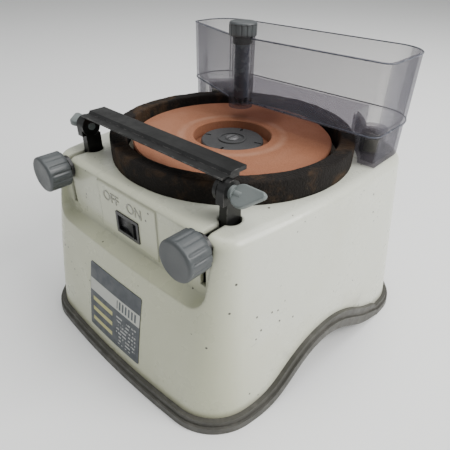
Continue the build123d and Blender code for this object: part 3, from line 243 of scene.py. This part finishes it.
def stone():
    """Terracotta abrasive with a paler worn track, dark wet stains and an open grain."""
    s = Shader("stone")
    grain = s.noise(1500, 2, 0.6)
    colour = s.mix(s.ramp(grain, (0.35, 0.0), (0.70, 1.0)), (0.22, 0.085, 0.042), (0.31, 0.130, 0.072))
    cloud = s.ramp(s.noise(22, 5, 0.6, 0.8), (0.40, 0.0), (0.70, 0.5))
    colour = s.mix(cloud, colour, (0.31, 0.145, 0.088))
    track_low, track_high, track_soft = 0.0440, 0.0500, 0.0025
    drip_x, drip_y = -0.012, 0.055
    r = s.radius()
    track = s.ramp(s.noise(50, 4), (0.25, 0.12), (0.65, 0.50))
    worn = s.times(s.span(r, track_low, track_high, track_soft), track)
    colour = s.mix(worn, colour, (0.36, 0.20, 0.135))
    edge = s.ramp(r, (0.070, 0.0), (0.090, 0.45))
    colour = s.mix(s.times(edge, s.noise(30, 4)), colour, (0.20, 0.075, 0.04))
    wet = s.ramp(s.radius(drip_x, drip_y), (0.012, 0.75), (0.032, 0.0))
    colour = s.mix(wet, colour, (0.13, 0.045, 0.022))
    turning = s.wave(95, 0.6, kind="RINGS", direction="Z")
    s.set(Base_Color=colour, Roughness=0.82, Specular_IOR_Level=0.3)
    s.set(Normal=s.bump(grain, 0.35, 0.0005, s.bump(turning, 0.06, 0.0005)))
    return s.material


def black_satin():
    s = Shader("black_satin")
    wear = s.times(s.edge_wear(0.0010), s.ramp(s.noise(150, 5), (0.45, 0.0), (0.62, 1.0)))
    clouds = s.ramp(s.noise(60, 5), (0.35, 0.0), (0.75, 1.0))
    base = s.mix(clouds, (0.003, 0.003, 0.003), (0.009, 0.009, 0.009))
    colour = s.mix(s.times(wear, 0.7), base, (0.22, 0.21, 0.20))
    s.set(Base_Color=colour, Specular_IOR_Level=0.35)
    s.set(Roughness=s.ramp(s.noise(110, 6), (0.3, 0.28), (0.72, 0.46)))
    s.set(Normal=s.bump(s.noise(700, 3), 0.12, 0.0003))
    return s.material


def moulded(name, dark, light, rough_low=0.35, rough_high=0.55):
    """Plain moulded plastic: soft colour clouds, handling wear on edges and a fine moulded grain."""
    clouds, grain = 45.0, 900.0
    s = Shader(name)
    colour = s.mix(s.ramp(s.noise(clouds, 5, 0.6), (0.32, 0.0), (0.70, 1.0)), dark, light)
    paler = tuple(min(1.0, c * 1.45 + 0.01) for c in light)
    colour = s.mix(s.times(s.edge_wear(0.0008), 0.45), colour, paler)
    s.set(Base_Color=colour, Roughness=s.ramp(s.noise(clouds * 2, 6), (0.3, rough_low), (0.7, rough_high)))
    s.set(Normal=s.bump(s.noise(grain, 3), 0.12, 0.0003))
    return s.material


def metal(name, colour, rough=0.32, scale=(1.0, 1.0, 12.0), metallic=1.0):
    """Machined or cast metal with directional lines and tarnish."""
    s = Shader(name)
    lines = s.noise(160, 4, 0.6, vector=s.stretch(scale))
    tarnish = s.ramp(s.noise(38, 6), (0.42, 0.0), (0.74, 0.7))
    dull = tuple(c * 0.55 for c in colour)
    s.set(Base_Color=s.mix(tarnish, colour, dull), Metallic=metallic)
    s.set(Roughness=s.ramp(lines, (0.25, rough * 0.75), (0.75, rough * 1.35)))
    s.set(Normal=s.bump(lines, 0.10, 0.0003))
    return s.material


def smoke_clear():
    """Smoky transparent tank: tinted see-through walls, a soft gloss, darker level faces and dried marks."""
    s = Shader("smoke_clear")
    links = s.tree.links
    marks = s.ramp(s.noise(55, 7, 0.7, 0.5), (0.50, 0.0), (0.74, 1.0))
    facing = s.node("LayerWeight", Blend=0.28)
    normal = s.node("NewGeometry").outputs["Normal"]
    level = s.ramp(s.math("ABSOLUTE", s.axis("Z", normal)), (0.6, 0.0), (0.9, 1.0))
    tint = s.mix(facing.outputs["Facing"], (0.89, 0.885, 0.88), (0.50, 0.49, 0.54))
    tint = s.mix(level, tint, (0.68, 0.66, 0.69))
    clear = s.node("BsdfTransparent", Color=tint)
    s.set(Base_Color=s.mix(marks, (0.16, 0.16, 0.19), (0.34, 0.33, 0.33)), Specular_IOR_Level=0.6)
    s.set(Roughness=s.ramp(marks, (0.0, 0.10), (1.0, 0.24)))
    solid = s.math("ADD", 0.04, s.times(facing.outputs["Fresnel"], 0.35), clamp=True)
    blend = s.node("MixShader")
    links.new(solid, blend.inputs[0])
    links.new(clear.outputs[0], blend.inputs[1])
    links.new(s.bsdf.outputs[0], blend.inputs[2])
    links.new(blend.outputs[0], s.output.inputs["Surface"])
    return s.material


def label_print():
    """Generic rating label: slate ground, a pale band, three pale bars and rows of short strokes."""
    s = Shader("label_print")
    x = s.axis("X")
    z = s.axis("Z")
    bar_lows = (0.0510, 0.0400, 0.0290)
    bar_height = 0.0042
    bar_left, bar_right = -0.034, -0.004
    band_low, band_high, band_left, band_right = 0.0610, 0.0735, -0.0385, 0.0330
    chip_low, chip_high, chip_right = 0.0630, 0.0715, 0.030
    row_low, row_high, row_right = 0.026, 0.056, 0.029
    print_left = 0.002
    dust = s.ramp(s.noise(90, 6), (0.4, 0.0), (0.75, 0.5))
    slate = s.mix(dust, (0.034, 0.042, 0.052), (0.060, 0.068, 0.076))
    band = s.times(s.span(z, band_low, band_high), s.span(x, band_left, band_right, 0.0002))
    colour = s.mix(band, slate, (0.45, 0.46, 0.42))
    chips = s.times(s.span(z, chip_low, chip_high), s.span(x, print_left, chip_right))
    blocks = s.ramp(s.wave(75), (0.35, 0.0), (0.45, 1.0))
    colour = s.mix(s.times(chips, blocks), colour, (0.06, 0.07, 0.08))
    for low in bar_lows:
        bar = s.times(s.span(z, low, low + bar_height), s.span(x, bar_left, bar_right, 0.0006))
        colour = s.mix(bar, colour, (0.46, 0.44, 0.17))
    rows = s.ramp(s.wave(78, direction="Z"), (0.55, 0.0), (0.65, 1.0))
    dashes = s.ramp(s.noise(420, 1, vector=s.stretch((1.0, 1.0, 0.2))), (0.46, 0.0), (0.52, 1.0))
    rows = s.times(s.times(rows, dashes), s.span(x, print_left, row_right))
    rows = s.times(rows, s.span(z, row_low, row_high))
    colour = s.mix(rows, colour, (0.34, 0.35, 0.34))
    s.set(Base_Color=colour, Roughness=s.ramp(s.noise(120, 5), (0.3, 0.32), (0.7, 0.55)))
    s.set(Normal=s.bump(s.noise(300, 4), 0.06, 0.0002))
    return s.material


def laminated():
    s = Shader("laminated_core")
    sheets = s.wave(320, direction="Z")
    s.set(Base_Color=s.mix(sheets, (0.10, 0.10, 0.105), (0.26, 0.26, 0.27)), Metallic=0.9, Roughness=0.45)
    s.set(Normal=s.bump(sheets, 0.5, 0.0004))
    return s.material


def copper_coil():
    s = Shader("copper_coil")
    strands = s.wave(420, 1.5, kind="RINGS", direction="Z")
    s.set(Base_Color=s.mix(strands, (0.30, 0.10, 0.04), (0.62, 0.27, 0.11)), Metallic=0.8, Roughness=0.35)
    s.set(Normal=s.bump(strands, 0.6, 0.0005))
    return s.material


MATERIALS = {
    "housing_enamel": enamel(),
    "trim_rubber": trim_rubber(),
    "ring_foam": ring_foam(),
    "stone": stone(),
    "black_satin": black_satin(),
    "grey_plastic": moulded("grey_plastic", (0.044, 0.050, 0.053), (0.064, 0.071, 0.074)),
    "light_plastic": moulded("light_plastic", (0.10, 0.118, 0.116), (0.155, 0.175, 0.172), 0.28, 0.45),
    "smoke_clear": smoke_clear(),
    "stem_plastic": moulded("stem_plastic", (0.060, 0.066, 0.088), (0.085, 0.092, 0.118), 0.18, 0.32),
    "disc_metal": metal("disc_metal", (0.075, 0.076, 0.078), 0.5, (6.0, 6.0, 1.0), 0.4),
    "steel": metal("steel", (0.50, 0.50, 0.51), 0.28),
    "aluminium": metal("aluminium", (0.60, 0.60, 0.61), 0.38, (3.0, 3.0, 3.0)),
    "tray_paint": moulded("tray_paint", (0.020, 0.020, 0.020), (0.040, 0.040, 0.038), 0.4, 0.6),
    "lamination": laminated(),
    "copper_coil": copper_coil(),
    "black_plastic": moulded("black_plastic", (0.010, 0.010, 0.011), (0.020, 0.020, 0.021), 0.25, 0.42),
    "cord_rubber": moulded("cord_rubber", (0.012, 0.012, 0.012), (0.028, 0.027, 0.026), 0.45, 0.62),
    "hose_rubber": moulded("hose_rubber", (0.040, 0.040, 0.040), (0.070, 0.068, 0.066), 0.45, 0.6),
    "belt_rubber": moulded("belt_rubber", (0.010, 0.010, 0.010), (0.024, 0.023, 0.022), 0.6, 0.8),
    "white_plastic": moulded("white_plastic", (0.50, 0.49, 0.45), (0.62, 0.61, 0.57)),
    "label_sheet": label_print(),
    "brass": metal("brass_plated", (0.62, 0.45, 0.17), 0.3),
}
STUD_METAL = metal("stud_metal", (0.16, 0.16, 0.165), 0.5, (6.0, 6.0, 1.0), 0.5)


def paint_cad_nodes():
    """Give each CAD node the finished material of its slot; the spindle stud has its own duller metal."""
    slot_of = {part["node"]: part["material_slot"] for part in frame["record"]["subparts"]}
    for name, obj in NODES.items():
        material = STUD_METAL if name == "spindle_shaft" else MATERIALS[slot_of[name]]
        if not obj.material_slots:
            obj.data.materials.append(material)
        for slot in obj.material_slots:
            slot.material = material


paint_cad_nodes()


# ---------------------------------------------------------------------------
# Pieces made here in place of, or on top of, the CAD nodes
# ---------------------------------------------------------------------------
def mesh_piece(name, rings, slot, body, place=None, replaced=(), closed_loop=False):
    """Skin rings of points into one smooth-shaded piece, capped at both ends unless it is a closed loop."""
    count = len(rings[0])
    vertices = [tuple(point) for ring in rings for point in ring]
    pairs = len(rings) if closed_loop else len(rings) - 1
    faces = []
    for ring in range(pairs):
        first = ring * count
        second = ((ring + 1) % len(rings)) * count
        for i in range(count):
            j = (i + 1) % count
            faces.append((first + i, first + j, second + j, second + i))
    if not closed_loop:
        faces.append(tuple(reversed(range(count))))
        faces.append(tuple(range(len(vertices) - count, len(vertices))))
    mesh = bpy.data.meshes.new(name)
    mesh.from_pydata(vertices, [], faces)
    mesh.polygons.foreach_set("use_smooth", [len(face) == 4 for face in faces])
    mesh.materials.append(MATERIALS[slot])
    piece = bpy.data.objects.new(name, mesh)
    bpy.context.collection.objects.link(piece)
    if place is not None:
        piece.matrix_world = place
    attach(piece, body)
    if replaced:
        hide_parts(*replaced)
    return piece


def fluted_knob(name, radius, length, flutes, depth, slot, body, place, node, hub=()):
    """Moulded knob along +Z, closed at its base, with flutes that stop short of its rounded rim."""
    steps = flutes * 12
    flute_width = 0.13
    edge = 2.2 * MM
    rim_steps = 6
    profile = [*hub, (radius - 0.6 * MM, 0.0, 1.0), (radius, 0.6 * MM, 1.0)]
    profile += [(radius, length * share, 1.0) for share in (0.2, 0.4, 0.6, 0.76)]
    profile += [(radius, length * 0.84, 0.6), (radius, length - edge, 0.15)]
    for step in range(1, rim_steps + 1):
        turn = pi / 2 * step / rim_steps
        profile.append((radius - edge * (1 - cos(turn)), length - edge * (1 - sin(turn)), 0.0))
    profile += [(radius - edge - 0.8 * MM, length, 0.0), (radius * 0.6, length - 0.25 * MM, 0.0)]
    profile.append((radius * 0.1, length - 0.3 * MM, 0.0))
    rings = []
    for base, height, cut in profile:
        ring = []
        for step in range(steps):
            angle = tau * step / steps
            groove = exp(-((((angle * flutes / tau) % 1.0) - 0.5) / flute_width) ** 2)
            reach = base - depth * cut * groove
            ring.append((reach * cos(angle), reach * sin(angle), height))
        rings.append(ring)
    return mesh_piece(name, rings, slot, body, place, (node,))


def clamp_knobs():
    """Both clamp knobs, with the hub that reaches back to the washer."""
    length = 20 * MM
    hub_radius = 9 * MM
    for side in ("left", "right"):
        node = f"clamp_knob_{side}"
        low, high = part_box(node)
        base = low[1] + length
        radius = (high[2] - low[2]) / 2
        middle = ((low[0] + high[0]) / 2, base, (low[2] + high[2]) / 2)
        place = Matrix.Translation(middle) @ Matrix.Rotation(pi / 2, 4, "X")
        hub = ((hub_radius, base - high[1], 0.0), (hub_radius, 0.0, 0.0))
        fluted_knob(
            f"knob_moulding_{side}", radius, length, 14, 0.9 * MM,
            "grey_plastic", f"knob_{side}", place, node, hub,
        )


def tube_axis():
    """X and Y of the valve tube, from the bushing that sits in it."""
    low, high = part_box("valve_bushing")
    return (low[0] + high[0]) / 2, (low[1] + high[1]) / 2


def valve_cap():
    """Cap over the valve tube; it has no bore, and the stem's end stands inside it."""
    low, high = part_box("valve_knob")
    place = Matrix.Translation((*tube_axis(), low[2]))
    fluted_knob(
        "valve_cap_moulding", 12.8 * MM, high[2] - low[2], 16, 0.8 * MM,
        "grey_plastic", "valve_handle", place, "valve_knob",
    )


def frayed_ring():
    """Splash ring of felted foam: its faces wander slightly and its upper rims are worn round."""
    low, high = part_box("splash_ring")
    fray = 0.3 * MM
    inner, outer = 96.2 * MM, high[0] - fray
    bottom, top = low[2] + 0.1 * MM, high[2] - fray
    middle = (inner + outer) / 2
    corner = 1.6 * MM
    corner_angles = (0.5, 1.05, pi / 2)
    section = [(inner, bottom), (outer, bottom)]
    section += [(outer, bottom + (top - corner - bottom) * k / 6) for k in range(1, 7)]
    section += [(outer - corner * (1 - cos(a)), top - corner * (1 - sin(a))) for a in corner_angles]
    section += [(outer + (inner + corner - outer) * k / 5, top) for k in range(1, 5)]
    section += [(inner + corner * (1 - cos(a)), top - corner * (1 - sin(a))) for a in corner_angles[::-1]]
    section += [(inner, top - corner - (top - corner - bottom) * k / 6) for k in range(6)]
    steps = 540
    rings = []
    for step in range(steps):
        angle = tau * step / steps
        ring = []
        for index, (reach, height) in enumerate(section):
            point = Vector((reach * cos(angle), reach * sin(angle), height))
            wander = noise.noise(point * 55) * 0.45 * MM + noise.noise(point * 260) * 0.22 * MM
            lift = wander if index > 1 else 0.0
            worn = reach + (min(0.0, wander) if reach > middle else max(0.0, wander))
            ring.append((worn * cos(angle), worn * sin(angle), min(height + lift, high[2])))
        rings.append(ring)
    mesh_piece("felt_splash_ring", rings, "ring_foam", "root", None, ("splash_ring",), True)


def tank_edge_path():
    """Plan of the tank's outer edge, from one side of the valve tube round the back to the other."""
    low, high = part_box("water_tank")
    left, right, rear = low[0], high[0], high[1]
    front, left_front = 37 * MM, 67 * MM
    rear_radius = 31 * MM
    first = Vector((-13.5 * MM, front))
    last = Vector((-38.6 * MM, front + 0.2 * MM))
    corners = (
        (Vector((right, front)), 8.5 * MM), (Vector((right, rear)), rear_radius),
        (Vector((left, rear)), rear_radius), (Vector((left, left_front)), 9 * MM),
    )
    spots = [first, *(corner for corner, _ in corners), last]
    corner_steps = 12
    path = [first]
    for index, (corner, radius) in enumerate(corners):
        before = (spots[index] - corner).normalized()
        after = (spots[index + 2] - corner).normalized()
        half = before.angle(after) / 2
        centre = corner + (before + after).normalized() * radius / sin(half)
        reach = radius / tan(half)
        start = corner + before * reach
        end = corner + after * reach
        for step in range(corner_steps + 1):
            path.append((start.lerp(end, step / corner_steps) - centre).normalized() * radius + centre)
    path.append(last)
    return path


def tank_edge_lines():
    """Thick, darker edges of the clear tank: a rim bead and a floor bead, both broken at the tube."""
    thickness = 0.55 * MM
    sides = 8
    path = tank_edge_path()
    for name, height in (("tank_rim_bead", 254.6 * MM), ("tank_floor_bead", 198.0 * MM)):
        rings = []
        for index, spot in enumerate(path):
            along = (path[min(index + 1, len(path) - 1)] - path[max(index - 1, 0)]).normalized()
            out = Vector((along.y, -along.x))
            ring = []
            for step in range(sides):
                angle = tau * step / sides
                flat = spot + out * thickness * cos(angle)
                ring.append((flat.x, flat.y, height + thickness * sin(angle)))
            rings.append(ring)
        mesh_piece(name, rings, "stem_plastic", "tank")


def raised_word(word, x):
    """A generic switch marking, raised from the plate around the switch."""
    plate_face_y = -122.3 * MM
    word_z = 149.5 * MM
    curve = bpy.data.curves.new(f"mark_{word.lower()}_curve", "FONT")
    curve.body = word
    curve.size = 12.5 * MM
    curve.extrude = 0.18 * MM
    curve.bevel_depth = 0.08 * MM
    curve.align_x = "CENTER"
    source = bpy.data.objects.new(f"mark_{word.lower()}_source", curve)
    mesh = bpy.data.meshes.new_from_object(source)
    mesh.materials.clear()
    mesh.materials.append(MATERIALS["housing_enamel"])
    bpy.data.objects.remove(source)
    piece = bpy.data.objects.new(f"mark_{word.lower()}", mesh)
    bpy.context.collection.objects.link(piece)
    piece.matrix_world = Matrix.Translation((x, plate_face_y, word_z)) @ Matrix.Rotation(pi / 2, 4, "X")
    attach(piece, "root")


def soften_cad_edges():
    """Small rounded edges on the hard-edged nodes that are seen close up."""
    widths = {
        "tool_rest_bar": 0.5, "rest_bracket_left": 0.4, "rest_bracket_right": 0.4,
        "stone_clamp_disc": 0.3, "grinding_stone": 0.3, "switch_body": 0.25, "switch_rocker": 0.3,
    }
    for node, width in widths.items():
        bevel = NODES[node].modifiers.new("soft_edges", "BEVEL")
        bevel.width = width * MM
        bevel.segments = 2
        bevel.limit_method = "ANGLE"


clamp_knobs()
valve_cap()
frayed_ring()
tank_edge_lines()
raised_word("OFF", -20 * MM)
raised_word("ON", 10 * MM)
soften_cad_edges()


# ---------------------------------------------------------------------------
# Stage, light and camera
# ---------------------------------------------------------------------------
def pale_floor():
    bpy.ops.mesh.primitive_plane_add(size=12.0, location=(0, 0, -0.0002))
    floor = bpy.context.object
    floor.name = "stage_floor"
    s = Shader("stage_floor")
    s.set(Base_Color=(0.87, 0.875, 0.875), Roughness=0.7, Specular_IOR_Level=0.2)
    floor.data.materials.append(s.material)


def area_light(name, place, size, power, colour=(1, 1, 1)):
    """Round soft light aimed low on the object's middle axis."""
    aim = Vector((0, 0, 0.1))
    data = bpy.data.lights.new(name, "AREA")
    data.shape = "DISK"
    data.size = size
    data.energy = power
    data.color = colour
    lamp = bpy.data.objects.new(name, data)
    bpy.context.collection.objects.link(lamp)
    lamp.location = place
    lamp.rotation_euler = (aim - Vector(place)).to_track_quat("-Z", "Y").to_euler()


def studio():
    area_light("key", (1.7, 0.7, 1.5), 1.5, 60, (1.0, 0.99, 0.97))
    area_light("fill", (-1.4, -1.6, 1.3), 1.8, 4, (0.97, 0.98, 1.0))
    area_light("top", (0.0, 0.3, 2.0), 2.0, 32)
    world = bpy.data.worlds.new("studio")
    world.use_nodes = True
    sky = world.node_tree.nodes["Background"]
    sky.inputs["Color"].default_value = (0.80, 0.81, 0.80, 1)
    sky.inputs["Strength"].default_value = 0.55
    bpy.context.scene.world = world
    bpy.context.scene.cycles.transparent_max_bounces = 32


def camera():
    """The viewing angle: from the right front corner, looking down at 34 degrees."""
    yaw, pitch, roll = 0.740, 0.590, 0.020
    data = bpy.data.cameras.new("camera")
    data.sensor_width = 36.0
    data.lens = 33.8
    data.clip_start = 0.01
    view = bpy.data.objects.new("camera", data)
    bpy.context.collection.objects.link(view)
    view.location = (0.2458, -0.2767, 0.3260)
    tilt = Euler((pi / 2 - pitch, 0, yaw), "XYZ").to_matrix()
    turn = Euler((0, 0, roll), "XYZ").to_matrix()
    view.rotation_euler = (tilt @ turn).to_euler()
    bpy.context.scene.camera = view


pale_floor()
studio()
camera()
